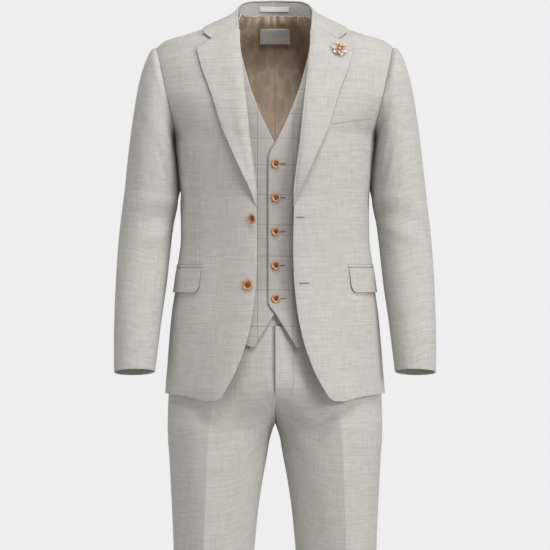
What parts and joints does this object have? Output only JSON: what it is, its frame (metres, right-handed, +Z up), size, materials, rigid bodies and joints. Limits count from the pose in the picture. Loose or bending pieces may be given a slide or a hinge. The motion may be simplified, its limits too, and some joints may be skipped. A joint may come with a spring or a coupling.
{
  "type": "three-piece suit",
  "caption": "Light grey three-piece suit in worn form: open notch-lapel jacket, buttoned waistcoat and trousers, hollow inside.",
  "frame": {"origin": "base of the back neck, on the middle plane, where the wearer's shoulders hold the suit", "axes": "+Z up, -Y to the front of the suit, +X to the wearer's left"},
  "size_m": [0.6248, 0.2619, 1.6344],
  "materials": {
    "suit_cloth": "slubbed linen-look plain weave, light warm grey",
    "waistcoat_cloth": "the same weave with a fine darker windowpane check",
    "lining_satin": "brown satin with a tonal woven pattern",
    "stand_cloth": "grey ribbed cloth",
    "button_horn": "brown horn look, four holes",
    "tape": "light grey woven tape",
    "label_cloth": "grey woven label, bare",
    "flower_cloth": "cream and peach fabric petals"
  },
  "bodies": {
    "root": {"chest_welt": "suit_cloth", "fly_shield": "suit_cloth", "hanger_loop": "tape", "jacket_back_left": "suit_cloth", "jacket_back_right": "suit_cloth", "jacket_button_lower": "button_horn", "jacket_button_upper": "button_horn", "jacket_collar": "suit_cloth", "jacket_collar_stand": "stand_cloth", "jacket_front_left": "suit_cloth", "jacket_front_right": "suit_cloth", "jacket_lapel_left": "suit_cloth", "jacket_lapel_right": "suit_cloth", "jacket_side_left": "suit_cloth", "jacket_side_right": "suit_cloth", "lapel_flower": "flower_cloth", "neck_label": "label_cloth", "pocket_flap_left": "suit_cloth", "pocket_flap_right": "suit_cloth", "pocket_jetting_left": "suit_cloth", "pocket_jetting_right": "suit_cloth", "sleeve_top_left": "suit_cloth", "sleeve_top_right": "suit_cloth", "sleeve_under_left": "suit_cloth", "sleeve_under_right": "suit_cloth", "trouser_back_left": "suit_cloth", "trouser_back_right": "suit_cloth", "trouser_front_left": "suit_cloth", "trouser_front_right": "suit_cloth", "waistband_left": "suit_cloth", "waistband_right": "suit_cloth", "waistcoat_back_left": "lining_satin", "waistcoat_back_right": "lining_satin", "waistcoat_button_1": "button_horn", "waistcoat_button_2": "button_horn", "waistcoat_button_3": "button_horn", "waistcoat_button_4": "button_horn", "waistcoat_button_5": "button_horn", "waistcoat_front_left": "waistcoat_cloth", "waistcoat_front_right": "waistcoat_cloth"}
  },
  "joints": []
}
